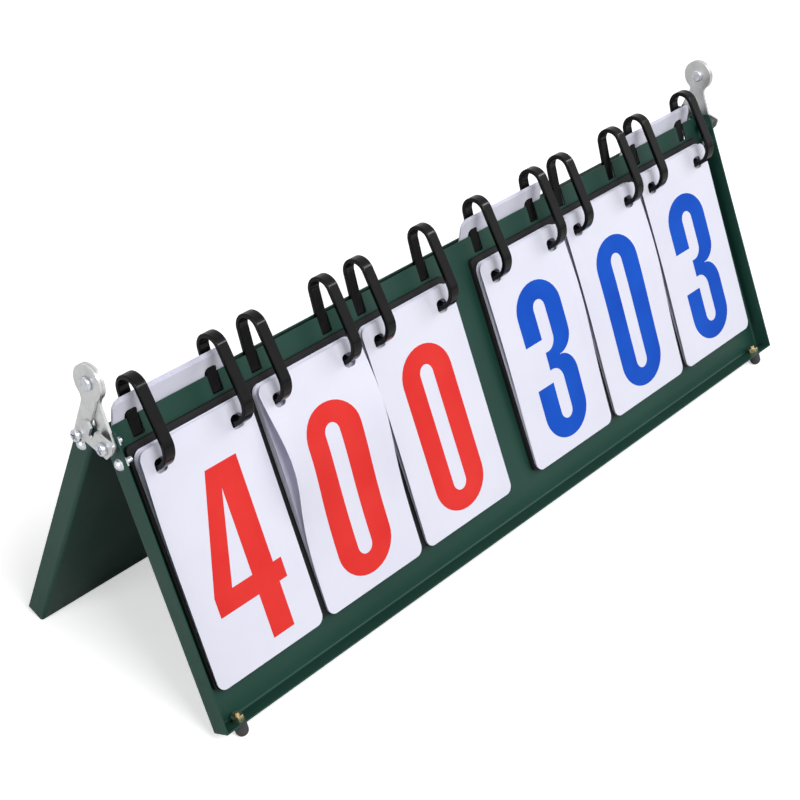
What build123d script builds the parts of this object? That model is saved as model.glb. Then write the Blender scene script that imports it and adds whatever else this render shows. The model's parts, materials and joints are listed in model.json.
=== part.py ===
"""Tabletop flip scoreboard: two sheet-metal trays hinged into an A-frame, with ringed number cards.

Each tray is drawn flat: X runs along the board, Y up its slope and Z out of its face, with the
origin at the middle of the face's top edge. The side view of the hinge is drawn in Y and Z with
the rivet at its origin, and the whole frame is then tipped onto the table.
"""

from build123d import *
from math import asin, atan2, cos, degrees, hypot, radians, sin, sqrt, tan
import os

os.makedirs("parts", exist_ok=True)

# Trays (mm, degrees)
LENGTH = 600.0
TRAY_HEIGHT = 192.0
FLANGE_DEPTH = 13.0
SHEET = 1.0
BEND_RADIUS = 2.4
FLANGE_CORNER = 2.0
HALF_ANGLE = 23.5
TOP_GAP = 2.4
CLOSED_GAP = 6.6

# Two groups of cards fill the tray's length and stop short of its foot
DIGITS_PER_GROUP = 3
CARDS_PER_DIGIT = 10
SHOWN_DIGITS = (4, 0, 0, 3, 0, 3)
END_MARGIN = 10.4
GROUP_GAP = 29.6
CARD_GAP = 5.4
CARD_FOOT_GAP = 21.0
GROUP_WIDTH = (LENGTH - GROUP_GAP) / 2 - END_MARGIN
CARD_WIDTH = (GROUP_WIDTH - (DIGITS_PER_GROUP - 1) * CARD_GAP) / DIGITS_PER_GROUP
CARD_THICKNESS = 0.3
CARD_CORNER = 6.0
STACK_TOP = 7.0

# Black backing boards
BOARD_THICKNESS = 3.0
BOARD_SIDE_MARGIN = 0.8
BOARD_TOP_MARGIN = 4.2
BOARD_BOTTOM_MARGIN = 1.0
BOARD_CORNER = 3.0

# Rings: an egg-shaped loop of flat strap, drawn by two circles
RING_WIDTH = 8.0
RING_THICKNESS = 3.0
RING_EDGE = 0.7
RING_TOP_RADIUS = 10.3
RING_TOP_OUT = 9.2
RING_TOP_UP = 15.4
RING_BOTTOM_RADIUS = 14.5
RING_BOTTOM_OUT = 9.5
RING_BOTTOM_DOWN = 18.0
RING_INSET = 13.2
HOLE_WIDTH = 9.4
HOLE_HEIGHT = 9.6
HOLE_CORNER = 2.5
HOLE_DROP = 12.5
SLOT_CLEARANCE = 0.4
SLOT_CORNER = 1.0

# Cards flipped over the top: they lean on the rings' rear legs and bend back along the tray
FLIPPED_LEAN = 30.0
FLIPPED_TURN = 28.5
FLIPPED_BEND_RADIUS = 50.0
FLIPPED_BEND_START = 6.0
FLIPPED_SPACING = 0.4
FLIPPED_FAN = 0.8
FLIPPED_EDGE_GAP = 0.25

# Hinge arms and hook link
ARM_LENGTH = 38.5
ARM_PLATE = 1.8
ARM_WIDTH = 10.4
ARM_DISC_RADIUS = 11.4
ARM_DISC_OFFSET = 4.0
ARM_NECK_FILLET = 6.0
PLATE_GAP = 0.2
SCREW_DOWN = 7.5
SCREW_OUT = 6.2
LINK_TAIL_TOP = (-8.7, 5.0)
LINK_TAIL_END = (-7.1, -0.9)
LINK_HEEL = (-2.3, -6.2)
LINK_SOLE_END = (-3.6, -0.8)
LINK_TIP = (1.2, 4.0)
LINK_BEAK = (-0.3, 7.7)
LINK_FINGER_REAR = (15.0, 12.5)
LINK_FINGER_FRONT = (11.6, 12.5)
LINK_THROAT = (9.2, 8.5)
LINK_SHOULDER = (3.4, 8.2)
LINK_CORNER = 0.8
LINK_NOTCH_RADIUS = 4.6
LINK_LATCH_AT = (9.6, 4.3)
LINK_LATCH_WIDTH = 3.6
LINK_LATCH_LEAN = 24.0

# Fasteners
SCREW_RADIUS = 2.0
RUNNING_FIT = 0.08
BOLT_FIT = 0.15
BUSH_RADIUS = 3.2
HEAD_RADIUS = 4.0
HEAD_HEIGHT = 2.4
RECESS_WIDTH = 1.1
RECESS_LENGTH = 4.6
RECESS_DEPTH = 1.2
NUT_ACROSS = 7.0
NUT_HEIGHT = 3.0
SCREW_TAIL = 2.5
DOME_DOWN = 20.0
DOME_OUT = 6.5
DOME_RADIUS = 3.9
DOME_HEIGHT = 2.7
DOME_TAIL = 4.5
RIVET_RADIUS = 2.5
RIVET_HEAD_RADIUS = 4.4
RIVET_HEAD_HEIGHT = 1.8

# Feet under the front tray
FOOT_INSET = 15.0
FOOT_RADIUS = 4.2
FOOT_HEIGHT = 9.0
FOOT_FLAT = 0.5
WASHER_RADIUS = 4.6
WASHER_THICKNESS = 0.8
FOOT_BOLT_TAIL = 2.0
FOOT_BOLT_SINK = 4.0

ENDS = (-1, 1)
BIG = 60.0


def face_profile(sketch):
    """Stand a sketch up in the Y, Z plane, facing +X."""
    return Plane.YZ * sketch


def rod(radius, start, end):
    """A round bar along X from start to end."""
    return Pos((start + end) / 2, 0, 0) * Rot(0, 90, 0) * Cylinder(radius, abs(end - start))


def hex_nut(start, end, bore):
    """A hexagon nut along X from start to end."""
    hexagon = RegularPolygon(NUT_ACROSS / 2, 6, major_radius=False) - Circle(bore)
    return Pos(min(start, end), 0, 0) * extrude(face_profile(hexagon), abs(end - start))


def outward(side, distance):
    """The X position a distance outside a tray's end flange."""
    return side * (LENGTH / 2 + distance)


def plate(sketch, side, start):
    """A hinge plate of one arm's thickness, its inner face a distance outside the flange."""
    near = min(outward(side, start), outward(side, start + ARM_PLATE))
    return Pos(near, 0, 0) * extrude(face_profile(sketch), ARM_PLATE)


# Screw and bolt axes in a tray's frame
SCREW = Pos(0, -SCREW_DOWN, SCREW_OUT)
DOME = Pos(0, -DOME_DOWN, DOME_OUT)

# Layers outside the end flange: front arm, rear arm, hook link, screw head
FRONT_ARM_AT = PLATE_GAP
REAR_ARM_AT = FRONT_ARM_AT + ARM_PLATE + PLATE_GAP
LINK_AT = REAR_ARM_AT + ARM_PLATE + PLATE_GAP
HEAD_AT = LINK_AT + ARM_PLATE + PLATE_GAP


# ---- rings ----

RING_TOP = Vector(-RING_TOP_UP, RING_TOP_OUT)
RING_BOTTOM = Vector(RING_BOTTOM_DOWN, RING_BOTTOM_OUT)


def leg_tangent(side):
    """Unit normal, in down-slope and outward parts, of the ring's front (+1) or rear (-1) leg."""
    down = (RING_BOTTOM - RING_TOP).normalized()
    across = Vector(-down.Y, down.X) * side
    spread = (RING_BOTTOM_RADIUS - RING_TOP_RADIUS) / (RING_BOTTOM - RING_TOP).length
    return across * sqrt(1 - spread**2) - down * spread


def leg_out(side, inset, down_slope):
    """How far out of the face a leg's line lies, a distance inside the ring's outer line."""
    normal = leg_tangent(side)
    touch = RING_TOP + normal * (RING_TOP_RADIUS - inset)
    return touch.Y - (down_slope - touch.X) * normal.X / normal.Y


def strap_reach(radius, out):
    """How far down the slope the bottom bend of a given radius lies, at a height off the face."""
    return RING_BOTTOM_DOWN + sqrt(radius**2 - (out - RING_BOTTOM_OUT) ** 2)


def egg(inset):
    """The ring's outline, a distance inside its outer line, with up-slope as its first axis."""
    top_radius = RING_TOP_RADIUS - inset
    bottom_radius = RING_BOTTOM_RADIUS - inset
    down = (RING_BOTTOM - RING_TOP).normalized()
    points = [
        RING_TOP + leg_tangent(-1) * top_radius,
        RING_TOP - down * top_radius,
        RING_TOP + leg_tangent(1) * top_radius,
        RING_BOTTOM + leg_tangent(1) * bottom_radius,
        RING_BOTTOM + down * bottom_radius,
        RING_BOTTOM + leg_tangent(-1) * bottom_radius,
    ]
    drawn = [(-point.X, point.Y) for point in points]
    outline = [
        ThreePointArc(drawn[0], drawn[1], drawn[2]),
        Line(drawn[2], drawn[3]),
        ThreePointArc(drawn[3], drawn[4], drawn[5]),
        Line(drawn[5], drawn[0]),
    ]
    return make_face(outline)


def ring():
    """One closed ring, centred on X."""
    loop = egg(0) - egg(RING_THICKNESS)
    strap = extrude(face_profile(loop), RING_WIDTH / 2, both=True)
    sides = strap.faces().filter_by(Axis.X)
    return fillet(sides.edges(), RING_EDGE)


def group_centre(group):
    """X of the middle of the left (0) or right (1) group of cards."""
    return (2 * group - 1) * (GROUP_GAP + GROUP_WIDTH) / 2


def digit_centre(digit):
    """X of a digit's cards, counted from the left."""
    group, place = divmod(digit, DIGITS_PER_GROUP)
    return group_centre(group) + (place - (DIGITS_PER_GROUP - 1) / 2) * (CARD_WIDTH + CARD_GAP)


def ring_centres(digit):
    """X of the two rings that carry a digit's cards."""
    reach = CARD_WIDTH / 2 - RING_INSET
    return [digit_centre(digit) - reach, digit_centre(digit) + reach]


DIGITS = range(2 * DIGITS_PER_GROUP)
RING_XS = [x for digit in DIGITS for x in ring_centres(digit)]


# ---- trays ----


def bent_tray():
    """A sheet with flanges turned out of its face at both ends and along the bottom."""
    blank = Pos(0, -TRAY_HEIGHT / 2, (FLANGE_DEPTH - SHEET) / 2) * Box(
        LENGTH, TRAY_HEIGHT, FLANGE_DEPTH + SHEET
    )
    bends = blank.edges().group_by(Axis.Z)[0]
    blank = fillet(bends.filter_by(Axis.Y) + bends.group_by(Axis.Y)[0].filter_by(Axis.X), BEND_RADIUS)
    hollow_height = TRAY_HEIGHT - SHEET + BIG
    hollow = Pos(0, hollow_height / 2 - TRAY_HEIGHT + SHEET, BIG / 2) * Box(
        LENGTH - 2 * SHEET, hollow_height, BIG
    )
    corners = hollow.edges().group_by(Axis.Z)[0]
    inner = corners.filter_by(Axis.Y) + corners.group_by(Axis.Y)[0].filter_by(Axis.X)
    tray = blank - fillet(inner, BEND_RADIUS - SHEET)
    tips = tray.edges().filter_by(Axis.X).group_by(Axis.Y)[-1].group_by(Axis.Z)[-1]
    return fillet(tips, FLANGE_CORNER)


def flange_holes():
    """Bores through both end flanges for the pivot screw and the domed bolt."""
    reach = LENGTH / 2 + BIG
    bore = rod(SCREW_RADIUS + BOLT_FIT, -reach, reach)
    return SCREW * bore + DOME * bore


def slot(x, start, end):
    """A cutter through the sheet for a ring's strap, between two places down the slope."""
    opening = RectangleRounded(RING_WIDTH + 2 * SLOT_CLEARANCE, end - start, SLOT_CORNER)
    return Pos(x, -(start + end) / 2, -BIG / 2) * extrude(opening, BIG)


def leg_slot_end():
    """Where the rear leg has sunk clear behind the sheet."""
    depth = leg_out(-1, RING_THICKNESS, 0) + SHEET + SLOT_CLEARANCE
    slope = leg_out(-1, RING_THICKNESS, 0) - leg_out(-1, RING_THICKNESS, 1)
    return depth / slope


def front_tray():
    """The tray that carries the cards, slotted for the rings, with bores for the feet."""
    tray = bent_tray() - flange_holes()
    inner_radius = RING_BOTTOM_RADIUS - RING_THICKNESS
    lower_start = strap_reach(inner_radius, -SHEET) - SLOT_CLEARANCE
    lower_end = strap_reach(RING_BOTTOM_RADIUS, 0) + SLOT_CLEARANCE
    for x in RING_XS:
        tray -= slot(x, -BIG, leg_slot_end())
        tray -= slot(x, lower_start, lower_end)
    for side in ENDS:
        bore = Rot(90, 0, 0) * Cylinder(SCREW_RADIUS + BOLT_FIT, BIG)
        tray -= Pos(side * (LENGTH / 2 - FOOT_INSET), -TRAY_HEIGHT, SCREW_OUT) * bore
    return tray


def rear_tray():
    """The plain tray that props the front one up."""
    return bent_tray() - flange_holes()


# ---- cards ----

TOP_CARD_OUT = STACK_TOP - CARD_THICKNESS / 2
HOLE_DOWN = strap_reach(RING_BOTTOM_RADIUS - RING_THICKNESS / 2, TOP_CARD_OUT)
CARD_TOP_DOWN = HOLE_DOWN - HOLE_DROP
CARD_HEIGHT = TRAY_HEIGHT - CARD_TOP_DOWN - CARD_FOOT_GAP


def ring_holes():
    """The outlines of a card's two holes, about the point midway between them."""
    hole = RectangleRounded(HOLE_WIDTH, HOLE_HEIGHT, HOLE_CORNER)
    return [Pos(side * (CARD_WIDTH / 2 - RING_INSET), 0) * hole for side in ENDS]


def card():
    """One card, its origin midway between its two holes."""
    sheet = Pos(0, HOLE_DROP - CARD_HEIGHT / 2) * RectangleRounded(CARD_WIDTH, CARD_HEIGHT, CARD_CORNER)
    for hole in ring_holes():
        sheet -= hole
    return Pos(0, 0, -CARD_THICKNESS / 2) * extrude(sheet, CARD_THICKNESS)


def card_rise(digit):
    """Spacing of the cards that still lie on the board, which all stacks fill to one height."""
    return (STACK_TOP - BOARD_THICKNESS) / (CARDS_PER_DIGIT - SHOWN_DIGITS[digit])


def lying_cards(digit, first, last):
    """The cards of one stack, counted down from the top one."""
    place = Pos(digit_centre(digit), -HOLE_DOWN, TOP_CARD_OUT)
    rise = card_rise(digit)
    return [place * Pos(0, 0, -rise * count) * card() for count in range(first, last)]


def bent_face(reach, rise, tail):
    """One face of a bent card in side view: its top, the bend's start, middle and end, and its tip."""
    turn = radians(FLIPPED_TURN)
    centre = Vector(-FLIPPED_BEND_START, FLIPPED_BEND_RADIUS)
    bend = [centre - Vector(sin(angle), cos(angle)) * reach for angle in (0, turn / 2, turn)]
    top = Vector(HOLE_DROP + rise, bend[0].Y)
    return [top, *bend, bend[2] + Vector(-cos(turn), sin(turn)) * tail]


def bent_card(layer):
    """A flipped card, bent forward below its holes; all layers share one bend centre."""
    radius = FLIPPED_BEND_RADIUS + FLIPPED_SPACING * layer
    rise = FLIPPED_FAN * layer
    above_tail = HOLE_DROP + rise + FLIPPED_BEND_START + radius * radians(FLIPPED_TURN)
    tail = CARD_HEIGHT - above_tail
    front = bent_face(radius - CARD_THICKNESS / 2, rise, tail)
    back = bent_face(radius + CARD_THICKNESS / 2, rise, tail)
    outline = [Line(front[0], back[0]), Line(front[-1], back[-1])]
    for top, start, middle, end, tip in (front, back):
        outline += [Line(top, start), ThreePointArc(start, middle, end), Line(end, tip)]
    sheet = extrude(face_profile(make_face(outline)), CARD_WIDTH / 2, both=True)
    corners = sheet.edges().filter_by(lambda edge: edge.length < 2 * CARD_THICKNESS)
    sheet = fillet(corners, CARD_CORNER)
    for hole in ring_holes():
        sheet -= Pos(0, rise, 0) * extrude(hole, BIG / 2, both=True)
    return sheet


def flipped_cards(digit):
    """The cards turned over the top, each hung on the rings' rear legs and fanned along them."""
    lean = radians(FLIPPED_LEAN)
    middle = RING_THICKNESS / 2
    slope = leg_out(-1, middle, 0) - leg_out(-1, middle, 1)
    surface = CARD_THICKNESS / 2 / cos(lean)
    hang = (-SHEET - FLIPPED_EDGE_GAP - surface - leg_out(-1, middle, 0)) / (tan(lean) - slope)
    place = Pos(digit_centre(digit), -hang, leg_out(-1, middle, hang)) * Rot(FLIPPED_LEAN, 0, 0)
    return [place * bent_card(layer) for layer in range(SHOWN_DIGITS[digit])]


def backing_board(group):
    """The black board behind one group of three digits."""
    width = GROUP_WIDTH + 2 * BOARD_SIDE_MARGIN
    top = CARD_TOP_DOWN - BOARD_TOP_MARGIN
    bottom = CARD_TOP_DOWN + CARD_HEIGHT - BOARD_BOTTOM_MARGIN
    outline = RectangleRounded(width, bottom - top, BOARD_CORNER)
    board = Pos(group_centre(group), -(top + bottom) / 2) * extrude(outline, BOARD_THICKNESS)
    start = strap_reach(RING_BOTTOM_RADIUS - RING_THICKNESS, 0) - SLOT_CLEARANCE
    end = strap_reach(RING_BOTTOM_RADIUS, BOARD_THICKNESS) + SLOT_CLEARANCE
    for digit in range(DIGITS_PER_GROUP):
        for x in ring_centres(group * DIGITS_PER_GROUP + digit):
            board -= slot(x, start, end)
    return board


# ---- hinge, drawn in its side view with the rivet at the origin ----


def half_spread(angle, top_gap):
    """Half the distance between the two pivot screws, at a half angle of the trays."""
    tilt = radians(angle)
    return top_gap / 2 + SCREW_DOWN * sin(tilt) + (SCREW_OUT + SHEET) * cos(tilt)


OPEN_HALF = half_spread(HALF_ANGLE, TOP_GAP)
CLOSED_HALF = half_spread(0, CLOSED_GAP)
SCREW_BELOW = sqrt(ARM_LENGTH**2 - OPEN_HALF**2)
ARM_TURN = degrees(asin(OPEN_HALF / ARM_LENGTH) - asin(CLOSED_HALF / ARM_LENGTH))


def arm_profile():
    """The rear arm in side view: a rivet disc set to the rear of a straight bar."""
    screw = Vector(OPEN_HALF, -SCREW_BELOW)
    turn = atan2(OPEN_HALF, SCREW_BELOW) + asin(ARM_DISC_OFFSET / ARM_LENGTH)
    along = Vector(-sin(turn), cos(turn))
    bar_length = sqrt(ARM_LENGTH**2 - ARM_DISC_OFFSET**2)
    middle = screw + along * (bar_length / 2)
    bar = Pos(middle.X, middle.Y) * Rot(0, 0, degrees(turn)) * Rectangle(ARM_WIDTH, bar_length)
    shape = Circle(ARM_DISC_RADIUS) + bar
    neck = shape.vertices().sort_by_distance((ARM_DISC_RADIUS, -ARM_DISC_RADIUS))[0]
    shape = fillet(neck, ARM_NECK_FILLET) + Pos(screw.X, screw.Y) * Circle(ARM_WIDTH / 2)
    shape -= Circle(RIVET_RADIUS + RUNNING_FIT)
    return shape - Pos(screw.X, screw.Y) * Circle(SCREW_RADIUS + RUNNING_FIT)


def rear_arm(side):
    """The outer arm at one end, from the rivet to the rear tray's pivot screw."""
    return plate(arm_profile(), side, REAR_ARM_AT)


def front_arm(side):
    """The inner arm at one end, the rear arm's mirror image."""
    return plate(mirror(arm_profile(), Plane.YZ), side, FRONT_ARM_AT)


def link_profile():
    """The hook link, pivoted at its origin, with a finger that drops over the other pivot screw."""
    spread = 2 * OPEN_HALF
    beyond = [(spread + y, z) for y, z in (LINK_SOLE_END, LINK_TIP, LINK_BEAK)]
    tail = (LINK_SHOULDER, LINK_TAIL_TOP, LINK_TAIL_END, LINK_HEEL)
    finger = (LINK_FINGER_REAR, LINK_FINGER_FRONT, LINK_THROAT)
    outline = Polygon(*tail, *beyond, *finger, align=None)
    outline = fillet(outline.vertices(), LINK_CORNER)
    latch = Circle(LINK_LATCH_WIDTH / 2) + Pos(0, BIG / 2) * Rectangle(LINK_LATCH_WIDTH, BIG)
    outline -= Pos(*LINK_LATCH_AT) * Rot(0, 0, LINK_LATCH_LEAN) * latch
    return outline - Pos(spread, 0) * Circle(LINK_NOTCH_RADIUS) - Circle(SCREW_RADIUS + RUNNING_FIT)


def hook_link(side):
    """The hook link at one end, on the front tray's pivot screw."""
    return Pos(0, -OPEN_HALF, -SCREW_BELOW) * plate(link_profile(), side, LINK_AT)


def rivet(side):
    """The rivet through both arms' discs, with a head at each end."""
    inner = outward(side, FRONT_ARM_AT)
    outer = outward(side, REAR_ARM_AT + ARM_PLATE + PLATE_GAP)
    shank = rod(RIVET_RADIUS, inner, outer)
    heads = rod(RIVET_HEAD_RADIUS, outer, outer + side * RIVET_HEAD_HEIGHT)
    heads += rod(RIVET_HEAD_RADIUS, inner, inner - side * RIVET_HEAD_HEIGHT)
    rims = heads.edges().filter_by(GeomType.CIRCLE)
    tips = rims.sort_by(Axis.X)
    return fillet([tips[0], tips[-1]], RIVET_HEAD_HEIGHT / 2) + shank


# ---- fasteners, drawn along X about their own axis ----


def pivot_screw(side):
    """A cross-slotted pan-head screw through the hinge plates and the flange."""
    head_start = outward(side, HEAD_AT)
    head_end = head_start + side * HEAD_HEIGHT
    head = rod(HEAD_RADIUS, head_start, head_end)
    rim = head.edges().sort_by(Axis.X)[-1 if side > 0 else 0]
    head = fillet(rim, HEAD_HEIGHT / 2)
    for turn in (0, 90):
        recess = Box(2 * RECESS_DEPTH, RECESS_LENGTH, RECESS_WIDTH)
        head -= Pos(head_end, 0, 0) * Rot(turn, 0, 0) * recess
    return head + rod(SCREW_RADIUS, head_start, outward(side, -SHEET - NUT_HEIGHT - SCREW_TAIL))


def bush(side, start, end):
    """A spacer bush on a pivot screw, between two distances outside the flange."""
    body = rod(BUSH_RADIUS, outward(side, start), outward(side, end))
    return body - rod(SCREW_RADIUS + BOLT_FIT, outward(side, start - 1), outward(side, end + 1))


def front_bush(side):
    """It fills the rear arm's layer between the front arm and the hook link."""
    return bush(side, REAR_ARM_AT - PLATE_GAP / 2, REAR_ARM_AT + ARM_PLATE + PLATE_GAP / 2)


def rear_bush(side):
    """It fills the front arm's layer between the flange and the rear arm."""
    return bush(side, 0, REAR_ARM_AT - PLATE_GAP / 2)


def flange_nut(side):
    """A nut on the inner side of the flange."""
    return hex_nut(outward(side, -SHEET), outward(side, -SHEET - NUT_HEIGHT), SCREW_RADIUS + BOLT_FIT)


def dome():
    """A shallow cap on X = 0, rising along X."""
    sphere = (DOME_RADIUS**2 + DOME_HEIGHT**2) / (2 * DOME_HEIGHT)
    half_way = sphere * sin(atan2(DOME_RADIUS, sphere - DOME_HEIGHT) / 2)
    rise = sqrt(sphere**2 - half_way**2) - (sphere - DOME_HEIGHT)
    outline = [
        Line((0, 0), (DOME_HEIGHT, 0)),
        ThreePointArc((DOME_HEIGHT, 0), (rise, half_way), (0, DOME_RADIUS)),
        Line((0, DOME_RADIUS), (0, 0)),
    ]
    return revolve(make_face(outline), Axis.X)


def domed_bolt(side):
    """A domed bolt through the flange below the pivot screw."""
    cap = Pos(outward(side, 0), 0, 0) * Rot(0, 90 - 90 * side, 0) * dome()
    return cap + rod(SCREW_RADIUS, outward(side, DOME_HEIGHT / 2), outward(side, -SHEET - NUT_HEIGHT - DOME_TAIL))


# ---- feet, drawn in the flat tray's frame ----

FOOT_TOP = TRAY_HEIGHT + WASHER_THICKNESS
FOOT_CENTRE = FOOT_TOP + FOOT_HEIGHT - FOOT_RADIUS


def standing_rod(radius, start, end):
    """A round bar across the bottom flange, between two places down the slope."""
    return Pos(0, -(start + end) / 2, 0) * Rot(90, 0, 0) * Cylinder(radius, end - start)


def foot_place(side):
    return Pos(side * (LENGTH / 2 - FOOT_INSET), 0, SCREW_OUT)


def foot_bolt():
    start = TRAY_HEIGHT - SHEET - NUT_HEIGHT - FOOT_BOLT_TAIL
    return standing_rod(SCREW_RADIUS, start, FOOT_TOP + FOOT_BOLT_SINK)


def foot_nut():
    hexagon = RegularPolygon(NUT_ACROSS / 2, 6, major_radius=False) - Circle(SCREW_RADIUS + BOLT_FIT)
    place = Pos(0, -(TRAY_HEIGHT - SHEET), 0) * Rot(-90, 0, 0)
    return place * extrude(hexagon, NUT_HEIGHT)


def foot_washer():
    washer = standing_rod(WASHER_RADIUS, TRAY_HEIGHT, FOOT_TOP)
    return washer - standing_rod(SCREW_RADIUS + BOLT_FIT, TRAY_HEIGHT - 1, FOOT_TOP + 1)


def rubber_foot():
    """A domed rubber foot with a blind hole for its bolt."""
    body = standing_rod(FOOT_RADIUS, FOOT_TOP, FOOT_CENTRE)
    body += Pos(0, -FOOT_CENTRE, 0) * Sphere(FOOT_RADIUS)
    return body - standing_rod(SCREW_RADIUS + BOLT_FIT, FOOT_TOP - 1, FOOT_TOP + FOOT_BOLT_SINK + BOLT_FIT)


# ---- placing ----

FACE_TOP_Y = -TOP_GAP / 2 - SHEET * cos(radians(HALF_ANGLE))
FACE_TOP_Z = (
    -SCREW_BELOW
    + SCREW_DOWN * cos(radians(HALF_ANGLE))
    - SCREW_OUT * sin(radians(HALF_ANGLE))
)
ON_FRONT = Pos(0, FACE_TOP_Y, FACE_TOP_Z) * Rot(90 - HALF_ANGLE, 0, 0)
ON_REAR = Rot(0, 0, 180) * ON_FRONT


def in_side_view(place, down, out):
    """A point of a tray's side view, in the hinge's frame."""
    return (place * Pos(0, -down, out)).position


def stance():
    """Tip the frame so that the feet and the rear tray's bottom bend meet the table."""
    foot = in_side_view(ON_FRONT, FOOT_CENTRE, SCREW_OUT)
    bend = in_side_view(ON_REAR, TRAY_HEIGHT - BEND_RADIUS, BEND_RADIUS - SHEET)
    run = bend.Y - foot.Y
    rise = bend.Z - foot.Z
    tip = asin((BEND_RADIUS - FOOT_RADIUS + FOOT_FLAT) / hypot(run, rise)) - atan2(rise, run)
    tipped = Rot(degrees(tip), 0, 0)
    floor = (tipped * Pos(bend.X, bend.Y, bend.Z)).position.Z - BEND_RADIUS
    return Pos(0, 0, -floor) * tipped


STANCE = stance()
FRONT = STANCE * ON_FRONT
REAR = STANCE * ON_REAR


def both(place, make):
    """A piece at each end of the board."""
    return [place * make(side) for side in ENDS]


def build():
    """Every node's solids, standing on the table."""
    nodes = {"front_tray": [FRONT * front_tray()], "rear_tray": [REAR * rear_tray()]}
    for group, name in enumerate(("left", "right")):
        nodes[f"backing_board_{name}"] = [FRONT * backing_board(group)]
    one_ring = ring()
    for count, x in enumerate(RING_XS, 1):
        nodes[f"ring_{count:02d}"] = [FRONT * Pos(x, 0, 0) * one_ring]
    for digit in DIGITS:
        left = CARDS_PER_DIGIT - SHOWN_DIGITS[digit]
        nodes[f"top_card_{digit + 1}"] = [FRONT * item for item in lying_cards(digit, 0, 1)]
        nodes[f"card_stack_{digit + 1}"] = [FRONT * item for item in lying_cards(digit, 1, left)]
        if SHOWN_DIGITS[digit]:
            nodes[f"flipped_cards_{digit + 1}"] = [FRONT * item for item in flipped_cards(digit)]

    for side, name in zip(ENDS, ("left", "right")):
        nodes[f"front_arm_{name}"] = [STANCE * front_arm(side)]
        nodes[f"rear_arm_{name}"] = [STANCE * rear_arm(side)]
        nodes[f"hook_link_{name}"] = [STANCE * hook_link(side)]
    nodes["rivets"] = both(STANCE, rivet)

    for name, tray in (("front", FRONT), ("rear", REAR)):
        nodes[f"{name}_pivot_screws"] = both(tray * SCREW, pivot_screw)
        nodes[f"{name}_pivot_nuts"] = both(tray * SCREW, flange_nut)
        nodes[f"{name}_domed_bolts"] = both(tray * DOME, domed_bolt)
        nodes[f"{name}_domed_nuts"] = both(tray * DOME, flange_nut)
    nodes["front_bushes"] = both(FRONT * SCREW, front_bush)
    nodes["rear_bushes"] = both(REAR * SCREW, rear_bush)

    table = Pos(0, 0, -BIG / 2) * Box(2 * LENGTH, 2 * LENGTH, BIG)
    nodes["foot_bolts"] = [FRONT * foot_place(side) * foot_bolt() for side in ENDS]
    nodes["foot_nuts"] = [FRONT * foot_place(side) * foot_nut() for side in ENDS]
    nodes["foot_washers"] = [FRONT * foot_place(side) * foot_washer() for side in ENDS]
    for side, name in zip(ENDS, ("left", "right")):
        nodes[f"rubber_foot_{name}"] = [FRONT * foot_place(side) * rubber_foot() - table]
    return nodes


def centred(nodes):
    """Shift of the whole object that puts the origin under the middle of its box."""
    box = Compound(children=[item for items in nodes.values() for item in items]).bounding_box()
    return Pos(0, -box.center().Y, 0)


NODES = build()
SHIFT = centred(NODES)
for node, solids in NODES.items():
    placed = [SHIFT * solid for item in solids for solid in item.solids()]
    export_step(Compound(children=placed), f"parts/{node}.step")

AXES = {
    "rivet": (SHIFT * STANCE).position,
    "front screw": (SHIFT * FRONT * SCREW).position,
    "rear screw": (SHIFT * REAR * SCREW).position,
    "card": (SHIFT * FRONT * Pos(0, -RING_BOTTOM_DOWN, RING_BOTTOM_OUT)).position,
}
for name, point in AXES.items():
    print(f"{name} axis at y {point.Y:.3f} z {point.Z:.3f}")
print(f"each tray folds {HALF_ANGLE - ARM_TURN:.3f} about its screw, the arms {2 * ARM_TURN:.3f}")
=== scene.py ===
"""Looks of the tabletop flip scoreboard, dressed over its fixed frame.

The scene is in metres. Cards and digits are drawn flat in millimetres and bent onto the front
tray, whose own frame has X along the board, Y up its slope and Z out of its face. In names, up and
out are places in that frame, and down is measured from a card's top edge.
"""

import json
from math import atan2, cos, exp, radians, sin

import bmesh
import bpy
from mathutils import Matrix, Vector


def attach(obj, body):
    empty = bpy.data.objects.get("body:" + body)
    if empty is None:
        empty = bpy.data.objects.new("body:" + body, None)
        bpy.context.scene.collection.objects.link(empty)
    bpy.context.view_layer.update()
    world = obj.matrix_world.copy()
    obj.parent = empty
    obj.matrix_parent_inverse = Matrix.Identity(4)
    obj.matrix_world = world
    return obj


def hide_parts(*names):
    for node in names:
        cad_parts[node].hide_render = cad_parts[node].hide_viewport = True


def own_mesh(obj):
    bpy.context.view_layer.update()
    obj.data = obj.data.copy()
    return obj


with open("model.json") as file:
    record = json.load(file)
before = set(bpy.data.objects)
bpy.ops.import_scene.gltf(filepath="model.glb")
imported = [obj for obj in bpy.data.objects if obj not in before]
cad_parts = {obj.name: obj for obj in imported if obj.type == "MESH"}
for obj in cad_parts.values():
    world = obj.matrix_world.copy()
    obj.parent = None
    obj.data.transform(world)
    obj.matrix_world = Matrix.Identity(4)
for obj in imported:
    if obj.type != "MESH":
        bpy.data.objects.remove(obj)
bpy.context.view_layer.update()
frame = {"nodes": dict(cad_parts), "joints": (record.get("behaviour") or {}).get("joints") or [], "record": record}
NODES = frame["nodes"]
JOINTS = {joint["name"]: joint for joint in frame["joints"]}
MM = 0.001

# Camera fitted to the photograph: place in metres, turn in degrees, lens and sensor in mm
CAMERA_PLACE = (-0.80055, -0.63177, 0.72809)
CAMERA_TURN = (56.7003, -1.7691, -48.7839)
CAMERA_LENS = 78.32
CAMERA_SENSOR = 36.0

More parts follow.
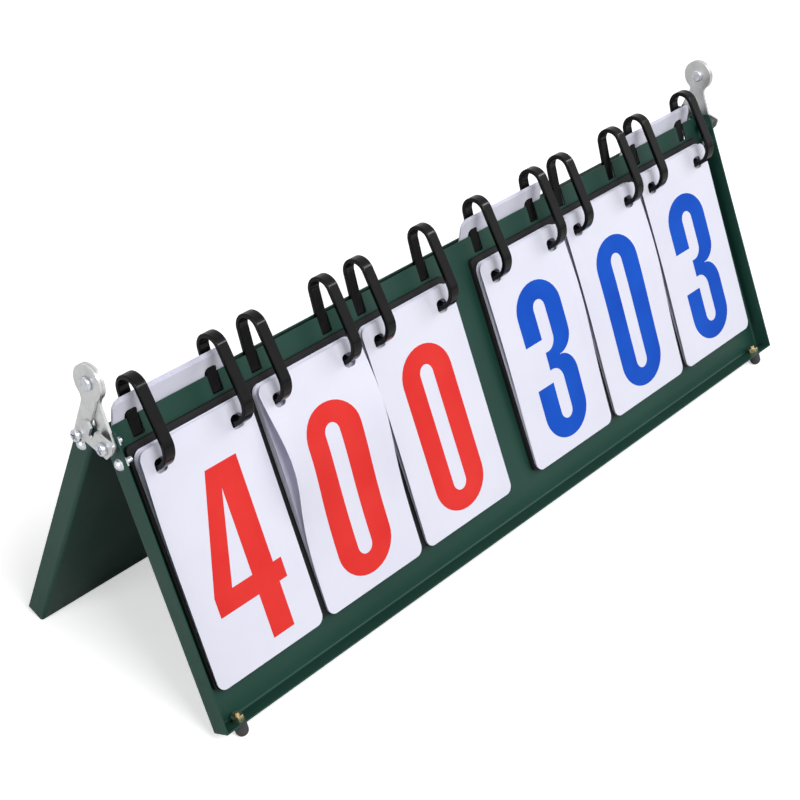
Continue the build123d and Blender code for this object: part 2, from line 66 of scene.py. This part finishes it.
# Lamps: name, place, width and height in metres, power in watts
LAMPS = (
    ("key", (-0.45, -1.75, 1.95), (1.3, 1.3), 41),
    ("fill", (1.6, -1.4, 1.4), (1.8, 1.8), 5),
    ("side", (-2.0, 0.0, 0.7), (0.9, 0.9), 15),
    ("strip", (1.35, -1.1, 1.5), (1.4, 0.2), 13),
)
LAMP_AIM = Vector((0, 0, 0.1))

# Floor and sky: white where a camera or a mirror sees them, dim where they light the part
WHITE = (1.0, 1.0, 1.0, 1.0)
FLOOR_SIZE = 12.0
FLOOR_ROUGHNESS = 0.9
FLOOR_BOUNCE = (0.25, 0.25, 0.25, 1.0)
FLOOR_GLOW = 0.5
SKY_LIGHT = 0.15
SKY_SEEN = 1.0

# The two joints that fix the front tray's frame: its hinge screw, and the cards' bend at the foot
# of the rings, both from the tray's top edge and face (metres)
SCREW_UP, SCREW_OUT = -7.5 * MM, 6.2 * MM
BEND_UP, BEND_OUT = -18.0 * MM, 9.5 * MM

# Cards and their places (mm)
CARD_WIDTH = 88.0
CARD_HEIGHT = 152.8
CARD_THICKNESS = 0.3
CARD_CORNER = 6.0
CARD_TOP_UP = -18.23
CARD_GAP = 5.4
CARD_PITCH = CARD_WIDTH + CARD_GAP
CARDS_IN_GROUP = 3
GROUP_GAP = 29.6
GROUP_WIDTH = CARDS_IN_GROUP * CARD_WIDTH + (CARDS_IN_GROUP - 1) * CARD_GAP
GROUP_OFFSET = (GROUP_WIDTH + GROUP_GAP) / 2
RING_INSET = 13.2
HOLE_DROP = 12.5
HOLE_SIZE = (9.4, 8.8)
HOLE_CORNER = 3.0

# Digits: what they show, how many cards each has, where a digit's middle is and how far its print
# stands over its card (mm)
SHOWN_DIGITS = (4, 0, 0, 3, 0, 3)
CARDS_PER_DIGIT = 10
DIGIT_UP = -104.2
PRINT_GAP = 0.05

# Stacks (mm): the top card's face over the tray, and the face of the lowest card on its board
STACK_OUT_AT_TOP = 8.0
STACK_OUT_AT_FOOT = 5.6
BOARD_SURFACE = 3.0
LOWEST_OUT = BOARD_SURFACE + CARD_THICKNESS

# The cards under the top one: the share of the stack's height that they fill, how much narrower
# they are on each side, how far they stray sideways and along (mm), how that varies with card and
# digit, and the share of the lift of the card above that each keeps
LEAF_SETTLING = 0.62
LEAF_INSET = 1.1
LEAF_SWING, SWING_PHASES = 0.35, (7.3, 2.1)
LEAF_SLIDE, SLIDE_PHASES = 0.45, (4.7, 1.0)
LIFT_KEPT_BELOW = 0.16

# Flipped cards (mm, degrees): they hang on the rings' rear legs and bend to lie along the tray's back
FLIPPED_LEAN = 30.0
FLIPPED_TURN = 28.5
FLIPPED_BEND_RADIUS = 50.0
FLIPPED_BEND_START = 6.0
FLIPPED_HOLE_UP = 0.3
FLIPPED_HOLE_OUT = -1.4
FLIPPED_SPACING = 0.4
FLIPPED_FAN = 0.8

# Mesh grids and tolerances (mm, radians)
FINE_GRID = 4
COARSE_GRID = 8
CORNER_STEPS = 9
BOWL_STEPS = 18
WELD = 0.001
FLAT_ANGLE = 0.01


# ---- outlines, in mm ----


def arc(cx, cy, rx, ry, start, end, steps=CORNER_STEPS):
    """Points on an ellipse from one angle to another, in degrees."""
    turns = [radians(start + (end - start) * step / steps) for step in range(steps + 1)]
    return [(cx + rx * cos(turn), cy + ry * sin(turn)) for turn in turns]


def rounded(cx, cy, width, height, rx, ry):
    """A rectangle with elliptical corners."""
    x, y = width / 2 - rx, height / 2 - ry
    points = arc(cx + x, cy + y, rx, ry, 0, 90) + arc(cx - x, cy + y, rx, ry, 90, 180)
    return points + arc(cx - x, cy - y, rx, ry, 180, 270) + arc(cx + x, cy - y, rx, ry, 270, 360)


def card_outline():
    """A card's edge and its two ring holes, about the middle of its top edge."""
    edge = rounded(0, -CARD_HEIGHT / 2, CARD_WIDTH, CARD_HEIGHT, CARD_CORNER, CARD_CORNER)
    reach = CARD_WIDTH / 2 - RING_INSET
    holes = [rounded(x, -HOLE_DROP, *HOLE_SIZE, HOLE_CORNER, HOLE_CORNER) for x in (-reach, reach)]
    return [edge] + holes


def zero():
    """An oval with a slot in it, about the digit's middle."""
    width, height, rounding = 47.2, 115.6, 21.0
    slot_x, slot_width, slot_height, slot_rounding = -0.2, 12.2, 89.0, 6.4
    oval = rounded(0, 0, width, height, width / 2, rounding)
    slot = rounded(slot_x, 0, slot_width, slot_height, slot_width / 2, slot_rounding)
    return [oval, slot]


def four():
    """A stem, a bar across it, and a slope from the bar's left end to the top, round an eye."""
    top, foot, slope_x = 56.7, -56.7, -3.1
    stem_left, stem_right = 4.6, 21.9
    bar_left, bar_right = -26.2, 28.5
    bar_top, bar_bottom = -14.4, -27.4
    eye_left, eye_top = -11.8, 42.3
    outer = [(slope_x, top), (stem_right, top), (stem_right, bar_top)]
    outer += [(bar_right, bar_top), (bar_right, bar_bottom), (stem_right, bar_bottom)]
    outer += [(stem_right, foot), (stem_left, foot), (stem_left, bar_bottom)]
    outer += [(bar_left, bar_bottom), (bar_left, bar_top)]
    eye = [(stem_left, eye_top), (stem_left, bar_top), (eye_left, bar_top)]
    return [outer, eye]


def three():
    """Two bowls that meet at a waist: round the outside from the upper left tip, then back."""
    bowl_up, bowl_height = 37.0, 20.7
    upper_reach, lower_reach = 23.4, 22.8
    upper_tip, lower_tip = 16.5, -15.5
    waist_x = 8.4
    upper_waist_up, upper_waist = 15.0, (15.0, 14.6)
    lower_waist_up, lower_waist = -16.0, (14.4, 16.2)
    counter_x, counter_radius = 0.6, 6.0
    upper_counter_up, lower_counter_up = 38.2, -38.6
    throat_x, throat_up, throat = -2.4, 16.0, (9.0, 9.4)
    inner_left = counter_x - counter_radius
    bar_half = throat_up - throat[1]
    outer = [(-upper_reach, upper_tip)]
    outer += arc(0, bowl_up, upper_reach, bowl_height, 180, 0, BOWL_STEPS)
    outer += arc(waist_x, upper_waist_up, *upper_waist, 0, -90)
    outer += arc(waist_x, lower_waist_up, *lower_waist, 90, 0)
    outer += arc(0, -bowl_up, lower_reach, bowl_height, 0, -180, BOWL_STEPS)
    outer += [(-lower_reach, lower_tip), (inner_left, lower_tip)]
    outer += arc(counter_x, lower_counter_up, counter_radius, counter_radius, 180, 360)
    outer += arc(throat_x, -throat_up, *throat, 0, 90)
    outer += [(inner_left, -bar_half), (inner_left, bar_half)]
    outer += arc(throat_x, throat_up, *throat, -90, 0)
    outer += arc(counter_x, upper_counter_up, counter_radius, counter_radius, 0, 180)
    outer += [(inner_left, upper_tip)]
    return [outer]


DIGITS = {4: four, 0: zero, 3: three}


# ---- flat meshes, in mm ----


def filled(loops):
    """A flat mesh between the loops, without needless edges."""
    curve = bpy.data.curves.new("outline", "CURVE")
    curve.dimensions = "2D"
    curve.fill_mode = "BOTH"
    for loop in loops:
        spline = curve.splines.new("POLY")
        spline.points.add(len(loop) - 1)
        for point, (x, y) in zip(spline.points, loop):
            point.co = (x, y, 0, 1)
        spline.use_cyclic_u = True
    carrier = bpy.data.objects.new("outline", curve)
    bpy.context.scene.collection.objects.link(carrier)
    shapes = bpy.context.evaluated_depsgraph_get()
    mesh = bpy.data.meshes.new_from_object(carrier.evaluated_get(shapes))
    bpy.data.objects.remove(carrier)
    bpy.data.curves.remove(curve)
    flat = bmesh.new()
    flat.from_mesh(mesh)
    bpy.data.meshes.remove(mesh)
    bmesh.ops.remove_doubles(flat, verts=flat.verts, dist=WELD)
    bmesh.ops.dissolve_limit(flat, angle_limit=FLAT_ANGLE, verts=flat.verts[:], edges=flat.edges[:])
    return flat


def spaced(low, high, step):
    """Places a step apart between two ends, from half a step above the low one."""
    count = int((high - low) / step)
    return [low + step * (index + 0.5) for index in range(count)]


def sheet(loops, step):
    """The loops filled and cut on the card's own grid, so that card and print bend alike."""
    flat = filled(loops)
    across = spaced(-CARD_WIDTH / 2, CARD_WIDTH / 2, step)
    along = spaced(-CARD_HEIGHT, 0, step)
    for normal, cuts in ((Vector((1, 0, 0)), across), (Vector((0, 1, 0)), along)):
        for cut in cuts:
            parts = flat.verts[:] + flat.edges[:] + flat.faces[:]
            bmesh.ops.bisect_plane(flat, geom=parts, plane_co=normal * cut, plane_no=normal)
    bmesh.ops.dissolve_degenerate(flat, dist=WELD, edges=flat.edges[:])
    return flat


# ---- the front tray's frame ----


def tray_frame():
    """The matrix of the front tray's frame at rest, from the places of its two joints."""
    screw = Vector(JOINTS["front_arm_swing"]["pos_m"])
    bend = Vector(JOINTS["card_1_lift"]["pos_m"])
    seen = atan2(bend.z - screw.z, bend.y - screw.y)
    turn = Matrix.Rotation(seen - atan2(BEND_OUT - SCREW_OUT, BEND_UP - SCREW_UP), 4, "X")
    origin = Vector((0, screw.y, screw.z)) - turn @ Vector((0, SCREW_UP, SCREW_OUT))
    return Matrix.Translation(origin) @ turn


TRAY = tray_frame()
OUTWARD = TRAY.to_3x3() @ Vector((0, 0, 1))


def on_tray(x, up, out):
    """A point of the front tray's frame, given in mm."""
    return TRAY @ Vector((x * MM, up * MM, out * MM))


def bent_object(name, sheets):
    """One object from pairs of a flat mesh and the bend that takes its points to the scene."""
    whole = bmesh.new()
    for flat, bend in sheets:
        for vertex in flat.verts:
            vertex.co = bend(vertex.co.x, vertex.co.y)
        piece = bpy.data.meshes.new("part")
        flat.to_mesh(piece)
        flat.free()
        whole.from_mesh(piece)
        bpy.data.meshes.remove(piece)
    bmesh.ops.recalc_face_normals(whole, faces=whole.faces)
    for face in whole.faces:
        if face.normal.dot(OUTWARD) < 0:
            face.normal_flip()
        face.smooth = True
    for edge in whole.edges:
        edge.smooth = not edge.is_boundary
    mesh = bpy.data.meshes.new(name)
    whole.to_mesh(mesh)
    whole.free()
    result = bpy.data.objects.new(name, mesh)
    bpy.context.scene.collection.objects.link(result)
    return result


def thicken(piece):
    """Give a sheet a card's thickness below its drawn surface."""
    solid = piece.modifiers.new("thickness", "SOLIDIFY")
    solid.thickness = CARD_THICKNESS * MM
    solid.offset = -1
    solid.use_even_offset = False


# ---- materials ----


def linear(red, green, blue):
    """A display colour of 0 to 255 as linear light, by the sRGB formula."""
    values = []
    for level in (red, green, blue):
        share = level / 255
        values.append(share / 12.92 if share <= 0.04045 else ((share + 0.055) / 1.055) ** 2.4)
    return (*values, 1.0)


class Finish:
    """A node material built up from noise layers in object space. Colours are 0 to 255.

    A layer's scale is its number of features to the metre, and its span is the part of the noise
    over which the layer goes from its first value to its second.
    """

    def __init__(self, name, colour, roughness, metallic=0.0, specular=0.5):
        self.material = bpy.data.materials.new(name)
        self.material.use_nodes = True
        self.tree = self.material.node_tree
        self.nodes = self.tree.nodes
        self.links = self.tree.links
        self.shader = self.nodes["Principled BSDF"]
        self.set("Base Color", linear(*colour))
        self.set("Roughness", roughness)
        self.set("Metallic", metallic)
        self.set("Specular IOR Level", specular)
        self.place = self.nodes.new("ShaderNodeTexCoord").outputs["Object"]
        self.normal = None

    def set(self, name, value):
        """Put one value on the shader's socket."""
        self.shader.inputs[name].default_value = value

    def feed(self, source, name):
        """Link a node's output to the shader's socket."""
        self.links.new(source, self.shader.inputs[name])

    def noise(self, scale, detail, stretch):
        """Noise over the object, drawn out along an axis by a stretch."""
        texture = self.nodes.new("ShaderNodeTexNoise")
        texture.inputs["Scale"].default_value = scale
        texture.inputs["Detail"].default_value = detail
        source = self.place
        if stretch:
            mapping = self.nodes.new("ShaderNodeMapping")
            mapping.inputs["Scale"].default_value = stretch
            self.links.new(source, mapping.inputs["Vector"])
            source = mapping.outputs["Vector"]
        self.links.new(source, texture.inputs["Vector"])
        return texture.outputs["Fac"]

    def blend(self, source, span, start, end):
        """Map a span of the source onto the way between two linear colours."""
        ramp = self.nodes.new("ShaderNodeValToRGB")
        for stop, position, colour in zip(ramp.color_ramp.elements, span, (start, end)):
            stop.position = position
            stop.color = colour
        self.links.new(source, ramp.inputs["Fac"])
        return ramp.outputs["Color"]

    def scale_to(self, source, span, start, end):
        """Map a span of the source onto the way between two numbers."""
        ramp = self.nodes.new("ShaderNodeMapRange")
        settings = {"From Min": span[0], "From Max": span[1], "To Min": start, "To Max": end}
        for name, value in settings.items():
            ramp.inputs[name].default_value = value
        self.links.new(source, ramp.inputs["Value"])
        return ramp.outputs["Result"]

    def mottle(self, dark, pale, scale, detail, span=(0.3, 0.7)):
        """Drift between two colours."""
        source = self.noise(scale, detail, None)
        self.feed(self.blend(source, span, linear(*dark), linear(*pale)), "Base Color")

    def sheen(self, smooth, rough, scale, detail, span=(0.3, 0.7), stretch=None):
        """Drift between two roughnesses."""
        source = self.noise(scale, detail, stretch)
        self.feed(self.scale_to(source, span, smooth, rough), "Roughness")

    def grain(self, height, strength, scale, detail, stretch=None):
        """Raise the surface by a height in mm where the noise is bright."""
        source = self.noise(scale, detail, stretch)
        bump = self.nodes.new("ShaderNodeBump")
        bump.inputs["Distance"].default_value = height * MM
        bump.inputs["Strength"].default_value = strength
        self.links.new(source, bump.inputs["Height"])
        if self.normal:
            self.links.new(self.normal, bump.inputs["Normal"])
        self.normal = bump.outputs["Normal"]
        self.feed(self.normal, "Normal")


def tray_paint():
    """Dark green powder coat: a cloudy tint and sheen, a fine orange peel and slow waves."""
    paint = Finish("tray_paint", (27, 65, 55), roughness=0.45, specular=0.2)
    paint.mottle((23, 61, 51), (33, 70, 60), scale=9, detail=5, span=(0.3, 0.75))
    paint.sheen(0.38, 0.54, scale=14, detail=6)
    paint.grain(height=0.03, strength=0.5, scale=900, detail=2)
    paint.grain(height=0.3, strength=0.35, scale=45, detail=2)
    paint.set("Coat Weight", 0.08)
    paint.set("Coat Roughness", 0.3)
    return paint.material


def board_plastic():
    """Dull black sheet with a pebbled grain."""
    board = Finish("board_plastic", (24, 23, 25), roughness=0.6, specular=0.25)
    board.mottle((18, 17, 19), (30, 29, 31), scale=60, detail=6)
    board.grain(height=0.04, strength=0.6, scale=1500, detail=3)
    return board.material


def ring_plastic():
    """Glossy black moulding with faint flow marks."""
    ring = Finish("ring_plastic", (11, 11, 12), roughness=0.24, specular=0.14)
    ring.mottle((8, 8, 9), (15, 15, 16), scale=120, detail=4)
    ring.sheen(0.1, 0.17, scale=160, detail=4)
    ring.grain(height=0.05, strength=0.4, scale=300, detail=3)
    return ring.material


def card_plastic():
    """White sheet with a hint of lilac, a fine grain and faint handling marks."""
    card = Finish("card_plastic", (236, 236, 250), roughness=0.42, specular=0.3)
    card.mottle((233, 233, 249), (239, 239, 252), scale=22, detail=5, span=(0.35, 0.8))
    card.sheen(0.36, 0.5, scale=35, detail=5, span=(0.3, 0.75))
    card.grain(height=0.01, strength=0.4, scale=2500, detail=2)
    return card.material


def ink(name, dark, pale):
    """A flat print, slightly uneven in tint and sheen."""
    layer = Finish(name, dark, roughness=0.38, specular=0.08)
    layer.mottle(dark, pale, scale=30, detail=6, span=(0.3, 0.75))
    layer.sheen(0.34, 0.48, scale=120, detail=4)
    layer.grain(height=0.01, strength=0.4, scale=2200, detail=2)
    return layer.material


def hinge_steel():
    """Zinc-plated plate with faint rolling marks and a soft sheen."""
    steel = Finish("hinge_steel", (206, 207, 207), roughness=0.3, metallic=1.0)
    steel.mottle((198, 199, 199), (216, 217, 217), scale=110, detail=5, span=(0.3, 0.75))
    steel.sheen(0.26, 0.36, scale=240, detail=4, stretch=(1, 1, 6))
    steel.grain(height=0.01, strength=0.4, scale=1400, detail=3, stretch=(1, 1, 5))
    return steel.material


def fastener_steel():
    """Bright plated screws, nuts and rivets, blotched by handling."""
    steel = Finish("fastener_steel", (205, 208, 214), roughness=0.18, metallic=1.0)
    steel.mottle((188, 192, 202), (226, 228, 232), scale=400, detail=4)
    steel.sheen(0.12, 0.3, scale=700, detail=4)
    return steel.material


def foot_brass():
    """Pale brass, worn unevenly."""
    brass = Finish("foot_brass", (190, 176, 140), roughness=0.3, metallic=1.0)
    brass.mottle((168, 152, 112), (214, 204, 172), scale=350, detail=4)
    brass.sheen(0.22, 0.42, scale=600, detail=4)
    return brass.material


def foot_rubber():
    """Dusty dark rubber with a coarse skin."""
    rubber = Finish("foot_rubber", (44, 41, 43), roughness=0.62)
    rubber.mottle((36, 33, 35), (60, 56, 58), scale=250, detail=5)
    rubber.grain(height=0.06, strength=0.7, scale=2600, detail=3)
    return rubber.material


MATERIALS = {
    "tray_paint": tray_paint(),
    "board_plastic": board_plastic(),
    "ring_plastic": ring_plastic(),
    "card_plastic": card_plastic(),
    "hinge_steel": hinge_steel(),
    "fastener_steel": fastener_steel(),
    "foot_brass": foot_brass(),
    "foot_rubber": foot_rubber(),
}
RED = ink("red_ink", (230, 52, 48), (238, 63, 58))
BLUE = ink("blue_ink", (20, 78, 192), (27, 92, 208))


def dress_nodes():
    """Give every carried-over node the material of its slot."""
    for part in frame["record"]["subparts"]:
        mesh = NODES[part["node"]].data
        mesh.materials.clear()
        mesh.materials.append(MATERIALS[part["material_slot"]])


# ---- how the top cards stand off their stacks, in mm across from the middle and mm down ----


def bell(value, centre, width):
    """1 at the centre, falling smoothly to nothing on both sides."""
    return exp(-(((value - centre) / width) ** 2))


def bulge(height, down, length):
    """A swelling across the whole card."""
    return lambda x, y: height * bell(y, down, length)


def corner_lift(height, across, width, down, length):
    """A swelling about one place."""
    return lambda x, y: height * bell(x, across, width) * bell(y, down, length)


def edge_lift(height, side, start, reach, down, length):
    """A rise towards one side edge from a line so many mm to that side of the middle."""
    return lambda x, y: height * max(0.0, (side * x - start) / reach) ** 2 * bell(y, down, length)


LEFT, RIGHT = -1, 1
LIFTED_CORNER = [corner_lift(height=3.6, across=-46, width=26, down=0, length=34)]
CURLED_EDGES = [
    bulge(height=4.0, down=46, length=44),
    edge_lift(height=9.0, side=LEFT, start=4, reach=40, down=52, length=36),
    edge_lift(height=3.4, side=RIGHT, start=-10, reach=54, down=44, length=40),
]
LIFTED_LEFT = [edge_lift(height=1.4, side=LEFT, start=10, reach=34, down=70, length=60)]
LIFTED_RIGHT = [
    bulge(height=1.2, down=60, length=50),
    edge_lift(height=2.6, side=RIGHT, start=-6, reach=50, down=52, length=46),
]
LIFTS = (LIFTED_CORNER, CURLED_EDGES, LIFTED_LEFT, LIFTED_RIGHT, LIFTED_RIGHT, LIFTED_LEFT)


# ---- cards ----


def digit_centre(place):
    """How far along the board a digit's middle is, by its place from the left."""
    group, column = divmod(place, CARDS_IN_GROUP)
    return (2 * group - 1) * GROUP_OFFSET + (column - 1) * CARD_PITCH


def cards_lying(place):
    """How many cards of a digit lie in front: the flipped ones match the digit shown."""
    return CARDS_PER_DIGIT - SHOWN_DIGITS[place]


def stack_out(down):
    """How far out the top card's face is, so many mm down the card."""
    share = down / CARD_HEIGHT
    return STACK_OUT_AT_TOP + (STACK_OUT_AT_FOOT - STACK_OUT_AT_TOP) * share


def stray(reach, phases, below, place):
    """How far a lying card strays, the same on each run."""
    return reach * sin(phases[0] * below + phases[1] * place)


def lying(place, below, gap=0.0):
    """A bend for the card that lies so many cards below the top one of a stack."""
    centre = digit_centre(place)
    height, inset, swing, slide = 1.0, 0.0, 0.0, 0.0
    if below:
        height = (1 - below / cards_lying(place)) * LEAF_SETTLING
        inset = LEAF_INSET * 2 / CARD_WIDTH
        swing = stray(LEAF_SWING, SWING_PHASES, below, place)
        slide = stray(LEAF_SLIDE, SLIDE_PHASES, below, place)

    def bend(x, y):
        down = -y
        lift = sum(part(x, down) for part in LIFTS[place]) * LIFT_KEPT_BELOW**below
        out = LOWEST_OUT + (stack_out(down) - LOWEST_OUT) * height
        aside = swing * down / CARD_HEIGHT - inset * x
        return on_tray(centre + x + aside, CARD_TOP_UP + y + slide, out + lift + gap)

    return bend


def flipped(place, layer):
    """A bend for a card on the rings' rear legs: straight past its holes, then along the tray."""
    lean = radians(FLIPPED_LEAN)
    centre = digit_centre(place)
    radius = FLIPPED_BEND_RADIUS + FLIPPED_SPACING * layer

    def bend(x, y):
        along = y + HOLE_DROP + FLIPPED_FAN * layer
        past = max(0.0, -FLIPPED_BEND_START - along)
        turn = min(past / radius, radians(FLIPPED_TURN))
        tail = past - turn * radius
        rise = max(along, -FLIPPED_BEND_START) - radius * sin(turn) - tail * cos(turn)
        away = FLIPPED_BEND_RADIUS - radius * cos(turn) + tail * sin(turn)
        up = FLIPPED_HOLE_UP + rise * cos(lean) - away * sin(lean)
        out = FLIPPED_HOLE_OUT + rise * sin(lean) + away * cos(lean)
        return on_tray(centre + x, up, out)

    return bend


def carry(piece, material, body):
    """Give a card or print its material and let it ride on a body."""
    piece.data.materials.append(material)
    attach(piece, body)


def top_card(place):
    """The card that shows, with its printed digit."""
    face = sheet(card_outline(), FINE_GRID)
    card = bent_object(f"card_face_{place + 1}", [(face, lying(place, 0))])
    thicken(card)
    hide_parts(f"top_card_{place + 1}")
    carry(card, MATERIALS["card_plastic"], f"card_{place + 1}")
    loops = DIGITS[SHOWN_DIGITS[place]]()
    moved = [[(x, y + DIGIT_UP - CARD_TOP_UP) for x, y in loop] for loop in loops]
    prints = [(sheet(moved, FINE_GRID), lying(place, 0, PRINT_GAP))]
    digit = bent_object(f"card_digit_{place + 1}", prints)
    carry(digit, RED if place < CARDS_IN_GROUP else BLUE, f"card_{place + 1}")


def card_pile(place):
    """The cards under the top one."""
    order = range(1, cards_lying(place))
    leaves = [(sheet(card_outline(), COARSE_GRID), lying(place, below)) for below in order]
    pile = bent_object(f"card_pile_{place + 1}", leaves)
    thicken(pile)
    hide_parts(f"card_stack_{place + 1}")
    carry(pile, MATERIALS["card_plastic"], "front_panel")


def hanging_cards(place):
    """The cards turned over the top, bent to lie along the tray's back."""
    order = range(SHOWN_DIGITS[place])
    leaves = [(sheet(card_outline(), FINE_GRID), flipped(place, layer)) for layer in order]
    cards = bent_object(f"hanging_cards_{place + 1}", leaves)
    thicken(cards)
    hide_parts(f"flipped_cards_{place + 1}")
    carry(cards, MATERIALS["card_plastic"], "front_panel")
    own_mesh(cards)


# ---- surroundings ----


def seen_by(tree, *kinds):
    """The signal of a new light path node that a ray is of one of the kinds."""
    path = tree.nodes.new("ShaderNodeLightPath")
    signal = path.outputs[kinds[0]]
    for kind in kinds[1:]:
        either = tree.nodes.new("ShaderNodeMath")
        either.operation = "MAXIMUM"
        tree.links.new(signal, either.inputs[0])
        tree.links.new(path.outputs[kind], either.inputs[1])
        signal = either.outputs[0]
    return signal


def floor():
    """A plain floor that is white to look at and sends only a little light back to the part."""
    bpy.ops.mesh.primitive_plane_add(size=FLOOR_SIZE)
    plane = bpy.context.object
    plane.name = "floor"
    ground = Finish("floor", (255, 255, 255), FLOOR_ROUGHNESS)
    mirrored = seen_by(ground.tree, "Is Camera Ray", "Is Glossy Ray")
    ground.feed(ground.blend(mirrored, (0.0, 1.0), FLOOR_BOUNCE, WHITE), "Base Color")
    direct = seen_by(ground.tree, "Is Camera Ray")
    ground.set("Emission Color", WHITE)
    ground.feed(ground.scale_to(direct, (0.0, 1.0), 0.0, FLOOR_GLOW), "Emission Strength")
    plane.data.materials.append(ground.material)


def sky():
    """A world that is white to look at and dim as a light."""
    world = bpy.data.worlds.new("studio")
    world.use_nodes = True
    tree = world.node_tree
    seen = seen_by(tree, "Is Camera Ray", "Is Glossy Ray", "Is Transmission Ray")
    level = tree.nodes.new("ShaderNodeMapRange")
    level.inputs["To Min"].default_value = SKY_LIGHT
    level.inputs["To Max"].default_value = SKY_SEEN
    tree.links.new(seen, level.inputs["Value"])
    background = tree.nodes["Background"]
    background.inputs["Color"].default_value = WHITE
    tree.links.new(level.outputs["Result"], background.inputs["Strength"])
    bpy.context.scene.world = world


def lamp(name, place, size, power):
    """A soft rectangular lamp aimed at the middle of the scoreboard."""
    light = bpy.data.lights.new(name, "AREA")
    light.shape = "RECTANGLE"
    light.size, light.size_y = size
    light.energy = power
    holder = bpy.data.objects.new(name, light)
    holder.location = place
    aim = LAMP_AIM - Vector(place)
    holder.rotation_euler = aim.to_track_quat("-Z", "Y").to_euler()
    bpy.context.scene.collection.objects.link(holder)


def camera():
    """The photograph's camera."""
    data = bpy.data.cameras.new("camera")
    data.lens = CAMERA_LENS
    data.sensor_width = CAMERA_SENSOR
    holder = bpy.data.objects.new("camera", data)
    holder.location = CAMERA_PLACE
    holder.rotation_euler = [radians(turn) for turn in CAMERA_TURN]
    bpy.context.scene.collection.objects.link(holder)
    bpy.context.scene.camera = holder


dress_nodes()
for place, digit in enumerate(SHOWN_DIGITS):
    top_card(place)
    card_pile(place)
    if digit:
        hanging_cards(place)
floor()
sky()
for settings in LAMPS:
    lamp(*settings)
camera()
bpy.context.scene.view_settings.view_transform = "Standard"
